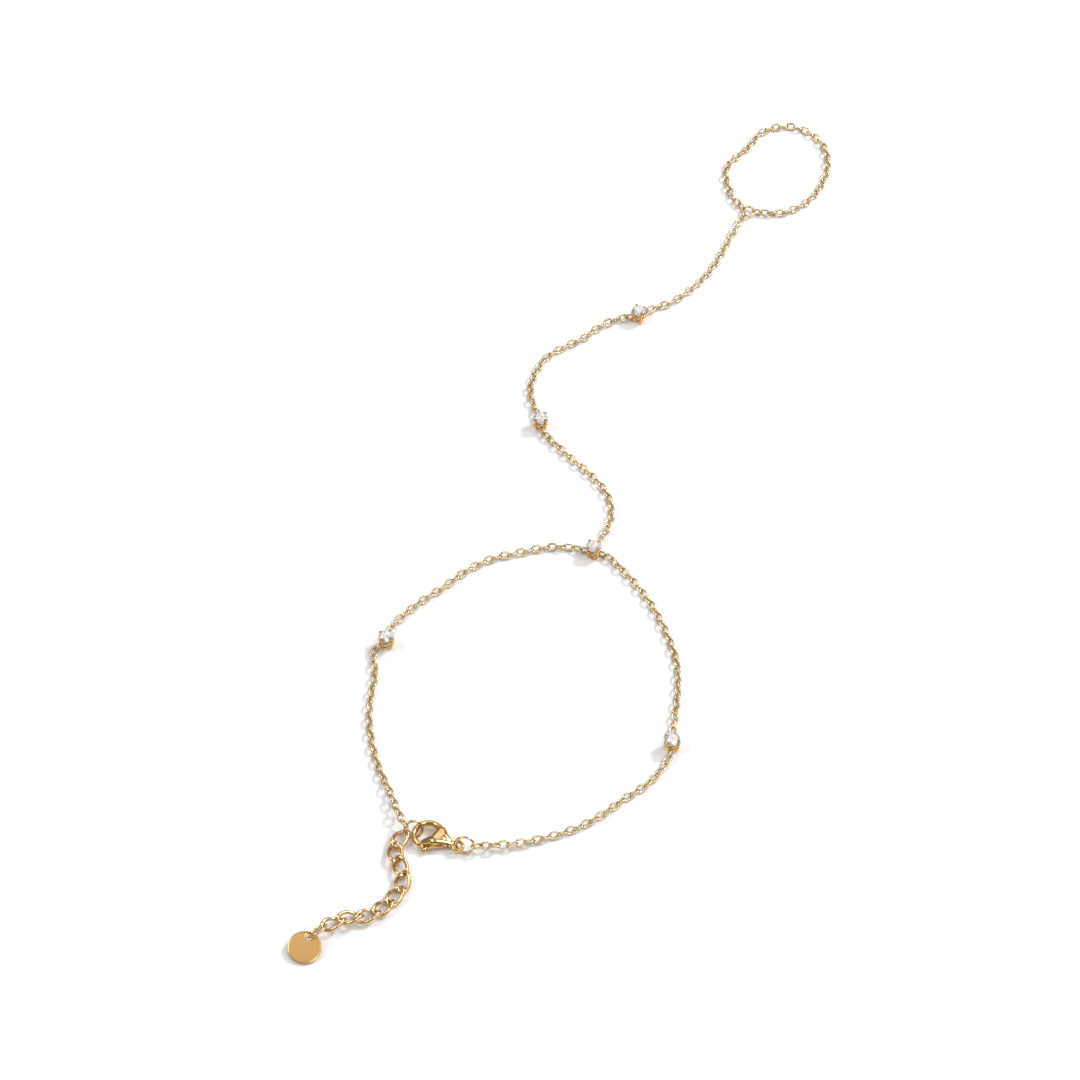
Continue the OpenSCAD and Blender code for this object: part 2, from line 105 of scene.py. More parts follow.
class Tree:
    """A node tree with short ways to add a node and to join two sockets."""

    def __init__(self, tree: bpy.types.NodeTree) -> None:
        """Starts with an empty tree.

        Args:
            tree: The node tree to fill.
        """
        self.tree = tree
        tree.nodes.clear()

    def add(
        self, kind: str, values: dict[str | int, object] | None = None, **settings: object
    ) -> bpy.types.Node:
        """Adds a node.

        Args:
            kind: The node's type name.
            values: Inputs by name or number, each a constant or an output socket that feeds it.
            **settings: Properties of the node.

        Returns:
            The new node.
        """
        node = self.tree.nodes.new(kind)
        for name, value in settings.items():
            setattr(node, name, value)
        for name, value in (values or {}).items():
            socket = node.inputs[name]
            if isinstance(value, bpy.types.NodeSocket):
                self.tree.links.new(value, socket)
            else:
                socket.default_value = value
        return node

    def math(self, operation: str, *terms: object) -> bpy.types.NodeSocket:
        """Adds a math node and returns its result."""
        node = self.add("ShaderNodeMath", dict(enumerate(terms)), operation=operation)
        return node.outputs[0]

    def noise(
        self, place: bpy.types.NodeSocket, scale: float, detail: float
    ) -> bpy.types.NodeSocket:
        """Adds a noise texture and returns its grey value."""
        inputs = {"Vector": place, "Scale": scale, "Detail": detail}
        return self.add("ShaderNodeTexNoise", inputs).outputs["Fac"]

    def two_tone(
        self, share: bpy.types.NodeSocket, span: Point2, dark: Triple, light: Triple
    ) -> bpy.types.NodeSocket:
        """Adds a ramp between two colours.

        Args:
            share: Socket that moves along the ramp.
            span: Positions of the dark and of the light colour.
            dark: The dark colour.
            light: The light colour.

        Returns:
            The ramp's colour.
        """
        mix = self.add("ShaderNodeValToRGB", {"Fac": share})
        for k, colour in enumerate((dark, light)):
            mix.color_ramp.elements[k].position = span[k]
            mix.color_ramp.elements[k].color = (*colour, 1.0)
        return mix.outputs["Color"]

    def surface(self, values: dict[str | int, object]) -> None:
        """Adds the shader of a surface and the material's output."""
        shader = self.add("ShaderNodeBsdfPrincipled", values)
        self.add("ShaderNodeOutputMaterial", {"Surface": shader.outputs["BSDF"]})


# ---------------------------------------------------------------- finishes


def new_material(name: str) -> tuple[bpy.types.Material, Tree]:
    """Starts a node material.

    Args:
        name: The material's name.

    Returns:
        The material and its empty tree.
    """
    material = bpy.data.materials.new(name)
    material.use_nodes = True
    return material, Tree(material.node_tree)


@dataclass(frozen=True)
class GoldFinish:
    """Polished gold plate with slight changes of tone, soft wear and hairline marks."""

    name: str
    colour: Triple
    deep: Triple
    smooth: float
    worn: float
    tone_scale: float = 700.0
    tone_detail: float = 3.0
    tone_span: Point2 = (0.32, 0.62)
    mark_scale: float = 5200.0
    mark_detail: float = 2.0
    mark_depth: float = 0.06
    mark_reach: float = 0.00002

    def build(self) -> bpy.types.Material:
        """Makes the material.

        Returns:
            A node material of its own name.
        """
        material, tree = new_material(self.name)
        place = tree.add("ShaderNodeTexCoord").outputs["Object"]
        tone = tree.noise(place, self.tone_scale, self.tone_detail)
        marks = tree.noise(place, self.mark_scale, self.mark_detail)
        rough = tree.add(
            "ShaderNodeMapRange", {"Value": marks, "To Min": self.smooth, "To Max": self.worn}
        )
        bump = tree.add(
            "ShaderNodeBump",
            {"Height": marks, "Strength": self.mark_depth, "Distance": self.mark_reach},
        )
        tree.surface(
            {
                "Base Color": tree.two_tone(tone, self.tone_span, self.deep, self.colour),
                "Metallic": 1.0,
                "Roughness": rough.outputs["Result"],
                "Normal": bump.outputs["Normal"],
            }
        )
        material.diffuse_color = (*self.colour, 1.0)
        return material


@dataclass(frozen=True)
class StoneFinish:
    """A clear faceted stone, with the light and dark spots that its facets throw back."""

    name: str = "clear_stone"
    colour: Triple = (1.0, 0.96, 0.91)
    dark: Triple = (0.6, 0.5, 0.47)
    spot_scale: float = 2500.0
    spot_span: Point2 = (0.1, 0.36)
    rough: float = 0.02
    refraction: float = 2.15
    clearness: float = 0.36

    def build(self) -> bpy.types.Material:
        """Makes the material.

        Returns:
            A node material of its own name.
        """
        material, tree = new_material(self.name)
        place = tree.add("ShaderNodeTexCoord").outputs["Object"]
        spots = tree.add("ShaderNodeTexVoronoi", {"Vector": place, "Scale": self.spot_scale})
        share = tree.add("ShaderNodeSeparateColor", {"Color": spots.outputs["Color"]})
        tint = tree.two_tone(share.outputs["Red"], self.spot_span, self.dark, self.colour)
        tree.surface(
            {
                "Base Color": tint,
                "Roughness": self.rough,
                "IOR": self.refraction,
                "Transmission Weight": self.clearness,
            }
        )
        material.diffuse_color = (*self.colour, 1.0)
        return material


@dataclass(frozen=True)
class FloorFinish:
    """A plain pale paper floor."""

    name: str = "pale_paper"
    colour: Triple = (0.92, 0.92, 0.92)
    rough: float = 0.9

    def build(self) -> bpy.types.Material:
        """Makes the material.

        Returns:
            A node material of its own name.
        """
        material, tree = new_material(self.name)
        tree.surface({"Base Color": (*self.colour, 1.0), "Roughness": self.rough})
        return material


@dataclass
class Finishes:
    """All finishes of the bracelet, made once."""

    chain: bpy.types.Material
    extender: bpy.types.Material
    clasp: bpy.types.Material
    ring: bpy.types.Material
    basket: bpy.types.Material
    tips: bpy.types.Material
    tag: bpy.types.Material
    # A darker gold painted on the tag's rim and side wall as shade.
    tag_rim: bpy.types.Material
    stone: bpy.types.Material

    @classmethod
    def make(cls) -> "Finishes":
        """Builds every finish.

        Returns:
            The set of them.
        """
        golds = {
            "chain": GoldFinish("chain_gold", (0.8, 0.65, 0.42), (0.66, 0.48, 0.25), 0.14, 0.3),
            "extender": GoldFinish(
                "extender_gold", (0.83, 0.6, 0.34), (0.7, 0.47, 0.22), 0.13, 0.28
            ),
            "clasp": GoldFinish(
                "clasp_gold", (0.78, 0.52, 0.23), (0.68, 0.42, 0.16), 0.1, 0.2, tone_scale=260.0
            ),
            "ring": GoldFinish("ring_gold", (0.85, 0.64, 0.38), (0.72, 0.49, 0.25), 0.12, 0.28),
            "basket": GoldFinish("basket_gold", (0.85, 0.53, 0.18), (0.66, 0.36, 0.09), 0.14, 0.3),
            "tips": GoldFinish("claw_tip_grey", (0.55, 0.47, 0.42), (0.38, 0.31, 0.27), 0.14, 0.3),
            "tag": GoldFinish(
                "tag_gold", (0.94, 0.57, 0.22), (0.88, 0.51, 0.185), 0.24, 0.36, tone_scale=240.0
            ),
            # Painted shade: a darker gold for the tag's rim and side wall, standing in for the
            # shadow and dark reflections along its edge.
            "tag_rim": GoldFinish("tag_rim_gold", (0.72, 0.44, 0.17), (0.62, 0.36, 0.13), 0.2, 0.3),
        }
        built = {part: gold.build() for part, gold in golds.items()}
        return cls(**built, stone=StoneFinish().build())


# ---------------------------------------------------------------- meshes


def arc(middle: Point2, radius: float, first: float, last: float, steps: int) -> list[Point2]:
    """Gives points on a part of a circle.

    Args:
        middle: Middle of the circle.
        radius: Its radius.
        first: Angle of the first point, in degrees.
        last: Angle of the last point, in degrees.
        steps: Number of steps between them.

    Returns:
        One point more than there are steps.
    """
    turns = [math.radians(first + (last - first) * k / steps) for k in range(steps + 1)]
    return [(middle[0] + radius * math.cos(a), middle[1] + radius * math.sin(a)) for a in turns]


def circle(radius: float, steps: int, middle: Point2 = (0.0, 0.0)) -> list[Point2]:
    """Points all round a circle, each of them once."""
    return arc(middle, radius, 0.0, 360.0, steps)[:-1]


def add_object(name: str, mesh: bpy.types.Mesh) -> bpy.types.Object:
    """Links a mesh to the scene as an object at the origin.

    Args:
        name: Name of the mesh and of the object.
        mesh: The mesh.

    Returns:
        The new object.
    """
    mesh.name = name
    thing = bpy.data.objects.new(name, mesh)
    bpy.context.scene.collection.objects.link(thing)
    return thing


def baked(thing: bpy.types.Object, name: str) -> bpy.types.Object:
    """Turns an object with modifiers into a plain mesh object at the origin.

    Args:
        thing: The object, which is removed.
        name: The new object's name.

    Returns:
        The plain object.
    """
    graph = bpy.context.evaluated_depsgraph_get()
    mesh = bpy.data.meshes.new_from_object(thing.evaluated_get(graph))
    thing.modifiers.clear()
    bpy.data.objects.remove(thing)
    return add_object(name, mesh)


def dress(
    thing: bpy.types.Object,
    slot: Slot,
    side: Side,
    nodes: Sequence[str],
    finish: bpy.types.Material | None = None,
) -> None:
    """Gives a piece its finish and its body, and hides the nodes that it stands for.

    Args:
        thing: The piece.
        slot: The record's slot of its finish; not used.
        side: The body that it rides on.
        nodes: The nodes of the part that it replaces.
        finish: Its material, where it doesn't have it yet.
    """
    if finish:
        thing.data.materials.clear()
        thing.data.materials.append(finish)
    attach(thing, side.value)
    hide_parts(*nodes)
    log.info("%s: %d faces", thing.name, len(thing.data.polygons))


class Mould:
    """A mesh in the making, in millimetres, which ends in metres."""

    def __init__(self) -> None:
        """Starts empty."""
        self.bm = bmesh.new()

    def _wall(self, one: list[bmesh.types.BMVert], two: list[bmesh.types.BMVert]) -> None:
        """Adds the faces between two rings of corners.

        Args:
            one: The lower or first ring.
            two: The ring after it, with as many corners.
        """
        for i in range(len(one)):
            j = (i + 1) % len(one)
            self.bm.faces.new((one[i], one[j], two[j], two[i]))

    def _caps(self, first: list[bmesh.types.BMVert], last: list[bmesh.types.BMVert]) -> None:
        """Closes both ends of a shell."""
        self.bm.faces.new(list(reversed(first)))
        self.bm.faces.new(last)

    def tube(
        self,
        line: Sequence[Vector],
        radii: Sequence[Point2],
        sides: int,
        closed: bool,
        up: Vector,
    ) -> None:
        """Sweeps an oval along a line.

        Args:
            line: Points of the centre line.
            radii: Half width and half height of the oval at each point.
            sides: Number of sides of the oval.
            closed: True for a loop, whose two ends meet.
            up: Direction of the oval's height, about square to the line.
        """
        count = len(line)
        rings = []
        for i, point in enumerate(line):
            ahead = line[(i + 1) % count] if closed or i + 1 < count else point
            behind = line[i - 1] if closed or i else point
            along = (ahead - behind).normalized()
            across = up.cross(along).normalized()
            high = along.cross(across).normalized()
            wide, tall = radii[i]
            ring = []
            for k in range(sides):
                angle = 2 * math.pi * k / sides
                corner = point + across * (wide * math.cos(angle))
                ring.append(self.bm.verts.new(corner + high * (tall * math.sin(angle))))
            rings.append(ring)
        for i in range(count if closed else count - 1):
            self._wall(rings[i], rings[(i + 1) % count])
        if not closed:
            self._caps(rings[0], rings[-1])

    def ball(self, at: Triple, size: Triple, around: int = 24) -> None:
        """Adds an ellipsoid.

        Args:
            at: Its middle.
            size: Its three half lengths.
            around: Number of its faces around.
        """
        place = Matrix.Translation(at) @ Matrix.Diagonal((*size, 1.0))
        bmesh.ops.create_uvsphere(
            self.bm, u_segments=around, v_segments=around // 2, radius=1.0, matrix=place
        )

    def pillow(
        self,
        outline: Sequence[Point2],
        half: float,
        fullness: float,
        thin: Triple,
        layers: int = 18,
        least_share: float = 0.02,
    ) -> None:
        """Adds a cushion over an outline, which gets thinner towards one end.

        Args:
            outline: Points around it.
            half: Half of its height.
            fullness: 2 for an ellipsoid's swell, more for flatter faces.
            thin: The x of its thin end, the share of the height there, and the x of full height.
            layers: Number of steps of its height.
            least_share: Size of its two flat ends, as a share of the outline.
        """
        start, least, full = thin

        def height(x: float) -> float:
            """Half of the height at a length of x."""
            return half * min(1.0, least + (1 - least) * max(0.0, x - start) / (full - start))

        mid_x = sum(x for x, _ in outline) / len(outline)
        mid_y = sum(y for _, y in outline) / len(outline)
        rings = []
        for k in range(layers + 1):
            rise = math.sin(math.pi * (k / layers - 0.5))
            share = max(least_share, (1 - abs(rise) ** fullness) ** (1 / fullness))
            ring = [(mid_x + (x - mid_x) * share, mid_y + (y - mid_y) * share) for x, y in outline]
            rings.append([self.bm.verts.new((x, y, rise * height(x))) for x, y in ring])
        for one, two in zip(rings, rings[1:]):
            self._wall(one, two)
        self._caps(rings[0], rings[-1])

    def plate(self, outline: Sequence[Point2], span: Point2, fall: Point2 = (0.0, 0.0)) -> None:
        """Adds a plate over an outline.

        Args:
            outline: Points around it.
            span: Height of its bottom, and of its top at the origin.
            fall: How much the top falls for each length of x and of y.
        """
        low, high = span
        bottom = [self.bm.verts.new((x, y, low)) for x, y in outline]
        top = [self.bm.verts.new((x, y, high - fall[0] * x - fall[1] * y)) for x, y in outline]
        self._caps(bottom, top)
        self._wall(bottom, top)

    def object(self, name: str) -> bpy.types.Object:
        """Ends the mould.

        Args:
            name: Name of the object.

        Returns:
            An object that is still in millimetres.
        """
        bmesh.ops.recalc_face_normals(self.bm, faces=self.bm.faces[:])
        mesh = bpy.data.meshes.new(name)
        self.bm.to_mesh(mesh)
        self.bm.free()
        return add_object(name, mesh)


def to_metres(thing: bpy.types.Object, place: Matrix) -> None:
    """Puts a millimetre mesh where it belongs, in metres."""
    thing.data.transform(Matrix.Scale(MM, 4) @ place)
    thing.data.update()


def laid(at: Point2, z: float = 0.0, turn: float = 0.0) -> Matrix:
    """Matrix from a place in metres and a turn in radians of the layout to the part in mm."""
    place = Vector(((at[0] - LAID_MID[0]) / MM, (at[1] - LAID_MID[1]) / MM, z))
    return Matrix.Translation(place) @ Matrix.Rotation(turn, 4, "Z")


# ---------------------------------------------------------------- rings and the way of the chains


@dataclass(frozen=True)
class Ring:
    """A round ring of wire that lies on the floor or leans on something. Sizes in metres.

    Its lie is, in degrees, its tilt, the direction of the axis that it tilts about, and how much
    that axis falls.
    """

    at: Point2
    outer: float
    wire: float
    lie: Triple = (0.0, 0.0, 0.0)
    flat_z: float = 0.00077

    @property
    def radius(self) -> float:
        """Radius of the wire's centre line."""
        return (self.outer - self.wire) / 2

    @property
    def across(self) -> Vector:
        """Axis that the ring tilts about.

        Returns:
            A direction of length 1.
        """
        _, along, fall = (math.radians(a) for a in self.lie)
        flat = math.cos(fall)
        return Vector((flat * math.cos(along), flat * math.sin(along), -math.sin(fall)))

    @property
    def up(self) -> Vector:
        """Direction in the ring's plane square to that axis.

        Returns:
            A direction of length 1.
        """
        tilt, along, _ = (math.radians(a) for a in self.lie)
        flat = Vector((-math.sin(along), math.cos(along), 0.0))
        return flat * math.cos(tilt) + self.across.cross(flat) * math.sin(tilt)

    @property
    def middle(self) -> Vector:
        """Middle of the ring in the layout."""
        reach = self.radius * math.hypot(self.across.z, self.up.z) + self.wire / 2
        return Vector((*self.at, max(self.flat_z, reach)))

    def point(self, angle: float) -> Vector:
        """Point of the wire's centre line at an angle in degrees."""
        a = math.radians(angle)
        return self.middle + self.radius * (math.cos(a) * self.across + math.sin(a) * self.up)

    def way(self, angle: float) -> Vector:
        """Direction of the wire at an angle in degrees."""
        a = math.radians(angle)
        return math.cos(a) * self.up - math.sin(a) * self.across


@dataclass(frozen=True)
class ChainEnd:
    """How a chain hangs: its ring, the angle on it, the way off it and the length of its rise.

    The angles are in degrees and the length in metres.
    """

    ring: Ring
    angle: float
    away: float
    rise: float = 0.012


def half_turn(angle: float) -> float:
    """Angle in degrees, brought into the half turn from -90 to 90."""
    return angle - 180.0 * math.floor(angle / 180.0 + 0.5)


@dataclass(frozen=True)
class LinkShape:
    """Sizes of one link in metres, and its end turn in degrees.

    The last three are how much the polished wire is plumper, and its loop slimmer and shorter.
    """

    length: float
    width: float
    wire: float
    play: float
    end_length: float
    end_turn: float = 0.0
    around: int = 16
    sides: int = 6
    plump: float = 0.0
    slim: float = 0.0
    short: float = 0.0

    @property
    def pitch(self) -> float:
        """Longest distance from one link to the next."""
        return self.length - 2 * self.wire - self.play

    @property
    def half_width(self) -> float:
        """Half width of the wire's centre line."""
        return (self.width - self.wire) / 2


@dataclass(frozen=True)
class Route:
    """The way of a chain over the floor between two rings. Lengths in metres.

    The gaps keep a link off a ring's wire and off the floor. Within twist_run links of a ring
    the chain turns over to hang on it. A link points along the way from slope_share of the pitch
    before its middle to as much after it.
    """

    start: ChainEnd
    stop: ChainEnd
    points: tuple[Point2, ...]
    hang_gap: float = 0.0001
    floor_gap: float = 0.00002
    twist_run: int = 4
    slope_share: float = 0.125
    steps: int = 12

    def _curve(self) -> list[Vector]:
        """Draws the smooth way through the route's points.

        Returns:
            Points along it, on the floor.
        """
        first, last = self.start, self.stop
        a, b = first.ring.point(first.angle), last.ring.point(last.angle)
        p = [Vector(a[:2]), *(Vector(q) for q in self.points), Vector(b[:2])]
        w0 = Vector((math.cos(math.radians(first.away)), math.sin(math.radians(first.away))))
        w1 = -Vector((math.cos(math.radians(last.away)), math.sin(math.radians(last.away))))
        ways = [w0]
        for i in range(1, len(p) - 1):
            back, ahead = p[i] - p[i - 1], p[i + 1] - p[i]
            lead, trail = ahead.length / back.length, back.length / ahead.length
            ways.append((back * lead + ahead * trail).normalized())
        ways.append(w1)
        line = []
        for i in range(len(p) - 1):
            span = (p[i + 1] - p[i]).length
            for k in range(self.steps):
                t = k / self.steps
                t2, t3 = t * t, t * t * t
                line.append(
                    (2 * t3 - 3 * t2 + 1) * p[i]
                    + (t3 - 2 * t2 + t) * span * ways[i]
                    + (3 * t2 - 2 * t3) * p[i + 1]
                    + (t3 - t2) * span * ways[i + 1]
                )
        return [*line, p[-1]]

    def _lean_on(self, end: ChainEnd, direction: float) -> float:
        """Finds the lean of a link that hangs square on a ring's wire.

        Args:
            end: The end of the chain.
            direction: Way of the chain there, in degrees.

        Returns:
            The lean in degrees.
        """
        wire, a = end.ring.way(end.angle), math.radians(direction)
        aside = wire.x * math.sin(a) - wire.y * math.cos(a)
        return half_turn(math.degrees(math.atan2(aside, wire.z)))

    def places(self, link: LinkShape, leans: Point2, mid_z: float) -> list[Place]:
        """Places of the links from one end to the other.

        Args:
            link: The link's sizes.
            leans: Lean of every other link, and lean that the link's own ends add, in degrees.
            mid_z: Height of the links between the rises.

        Returns:
            Middle and turn of each link, in the part's frame.
        """
        line = self._curve()
        run = [0.0]
        for one, two in zip(line, line[1:]):
            run.append(run[-1] + (two - one).length)
        total = run[-1]
        first, last = self.start, self.stop
        a, b = first.ring.point(first.angle), last.ring.point(last.angle)
        reach = link.length / 2 - link.wire - self.hang_gap
        h0, h1 = reach - first.ring.wire / 2, reach - last.ring.wire / 2
        count = math.ceil((total - h0 - h1) / link.pitch) + 1
        step = (total - h0 - h1) / (count - 1)

        def at(t: float) -> Vector:
            """Finds a point of the chain.

            Args:
                t: Length from the chain's start.

            Returns:
                The point in the layout.
            """
            t = min(max(t, 0.0), total)
            i = max(k for k in range(len(run) - 1) if run[k] <= t)
            share = (t - run[i]) / (run[i + 1] - run[i])
            flat = line[i].lerp(line[i + 1], share)
            rise = (a.z - mid_z) * max(0.0, 1 - t / first.rise)
            rise += (b.z - mid_z) * max(0.0, 1 - (total - t) / last.rise)
            return Vector((flat.x, flat.y, mid_z + rise))

        lean0 = self._lean_on(first, first.away)
        lean1 = self._lean_on(last, last.away + 180.0)
        side = -1 if lean0 < 0 else 1
        base = [leans[0] * (side if k % 2 == 0 else -side) for k in range(count)]
        add0 = half_turn(lean0 - leans[1] - base[0])
        add1 = half_turn(lean1 + leans[1] - base[-1])
        near = link.pitch * self.slope_share
        found = []
        for k in range(count):
            t = h0 + k * step
            middle, way = at(t), at(t + near) - at(t - near)
            lean = base[k] + add0 * max(0.0, 1 - k / self.twist_run)
            lean += add1 * max(0.0, 1 - (count - 1 - k) / self.twist_run)
            drop = link.half_width * abs(math.sin(math.radians(lean)))
            if leans[0]:
                middle.z = max(middle.z, drop + link.wire / 2 + self.floor_gap)
            nod, yaw = -math.asin(way.z / way.length), math.atan2(way.y, way.x)
            turn = Euler((math.radians(lean), nod, yaw))
            found.append((middle - Vector((*LAID_MID, 0.0)), turn))
        return found


# ---------------------------------------------------------------- links


class LinkTree:
    """Geometry nodes that bend one link and set it on every point of a chain's way."""

    NAME = "links_on_points"

    def __init__(self) -> None:
        """Builds the tree."""
        group = bpy.data.node_groups.new(self.NAME, "GeometryNodeTree")
        self.group = group
        self.inputs: dict[str, str] = {}
        group.interface.new_socket("Geometry", in_out="OUTPUT", socket_type="NodeSocketGeometry")
        for name, kind in (
            ("Geometry", "NodeSocketGeometry"),
            ("End radius", "NodeSocketFloat"),
            ("Half width", "NodeSocketFloat"),
            ("Straight", "NodeSocketFloat"),
            ("Wire radius", "NodeSocketFloat"),
            ("End turn", "NodeSocketFloat"),
            ("Around", "NodeSocketInt"),
            ("Sides", "NodeSocketInt"),
            ("Finish", "NodeSocketMaterial"),
        ):
            socket = group.interface.new_socket(name, in_out="INPUT", socket_type=kind)
            self.inputs[name] = socket.identifier
        tree = Tree(group)
        given = tree.add("NodeGroupInput").outputs
        circle_line = tree.add(
            "GeometryNodeCurvePrimitiveCircle", {"Resolution": given["Around"], "Radius": 1.0}
        )
        spot = tree.add("GeometryNodeInputPosition").outputs[0]
        part = tree.add("ShaderNodeSeparateXYZ", {0: spot}).outputs
        straight = tree.math("MULTIPLY", given["Straight"], 0.5)
        along = tree.math(
            "ADD",
            tree.math("MULTIPLY", part["X"], given["End radius"]),
            tree.math("MULTIPLY", tree.math("SIGN", part["X"]), straight),
        )
        turn = tree.math("MULTIPLY", tree.math("MULTIPLY", part["X"], -1.0), given["End turn"])
        wide = tree.math("MULTIPLY", part["Y"], given["Half width"])
        bent = tree.add(
            "ShaderNodeCombineXYZ",
            {
                "X": along,
                "Y": tree.math("MULTIPLY", wide, tree.math("COSINE", turn)),
                "Z": tree.math("MULTIPLY", wide, tree.math("SINE", turn)),
            },
        )
        line = tree.add(
            "GeometryNodeSetPosition",
            {"Geometry": circle_line.outputs["Curve"], "Position": bent.outputs[0]},
        )
        section = tree.add(
            "GeometryNodeCurvePrimitiveCircle",
            {"Resolution": given["Sides"], "Radius": given["Wire radius"]},
        )
        wire = tree.add(
            "GeometryNodeCurveToMesh",
            {"Curve": line.outputs["Geometry"], "Profile Curve": section.outputs["Curve"]},
        )
        turns = tree.add(
            "GeometryNodeInputNamedAttribute", {"Name": "turn"}, data_type="FLOAT_VECTOR"
        )
        spin = tree.add("FunctionNodeEulerToRotation", {0: turns.outputs["Attribute"]})
        links = tree.add(
            "GeometryNodeInstanceOnPoints",
            {
                "Points": given["Geometry"],
                "Instance": wire.outputs["Mesh"],
                "Rotation": spin.outputs[0],
            },
        )
        solid = tree.add("GeometryNodeRealizeInstances", {"Geometry": links.outputs["Instances"]})
        smooth = tree.add("GeometryNodeSetShadeSmooth", {"Geometry": solid.outputs["Geometry"]})
        painted = tree.add(
            "GeometryNodeSetMaterial",
            {"Geometry": smooth.outputs["Geometry"], "Material": given["Finish"]},
        )
        tree.add("NodeGroupOutput", {"Geometry": painted.outputs["Geometry"]})

    def chain(
        self, name: str, places: list[Place], link: LinkShape, finish: bpy.types.Material
    ) -> bpy.types.Object:
        """Makes a chain.

        Args:
            name: The piece's name.
            places: Middle and turn of each link.
            link: The link's sizes.
            finish: The chain's material.

        Returns:
            A plain mesh of all links.
        """
        mesh = bpy.data.meshes.new(name)
        mesh.from_pydata([tuple(p) for p, _ in places], [], [])
        turn = mesh.attributes.new("turn", "FLOAT_VECTOR", "POINT")
        turn.data.foreach_set("vector", [x for _, e in places for x in e])
        holder = add_object(name + "_way", mesh)
        modifier = holder.modifiers.new("links", "NODES")
        modifier.node_group = self.group
        for key, value in (
            ("End radius", link.end_length),
            ("Half width", link.half_width - link.slim),
            ("Straight", link.length - link.wire - 2 * (link.end_length + link.short)),
            ("Wire radius", (link.wire + link.plump) / 2),
            ("End turn", math.radians(link.end_turn)),
            ("Around", link.around),
            ("Sides", link.sides),
            ("Finish", finish),
        ):
            modifier[self.inputs[key]] = value
        holder.update_tag()
        return baked(holder, name)


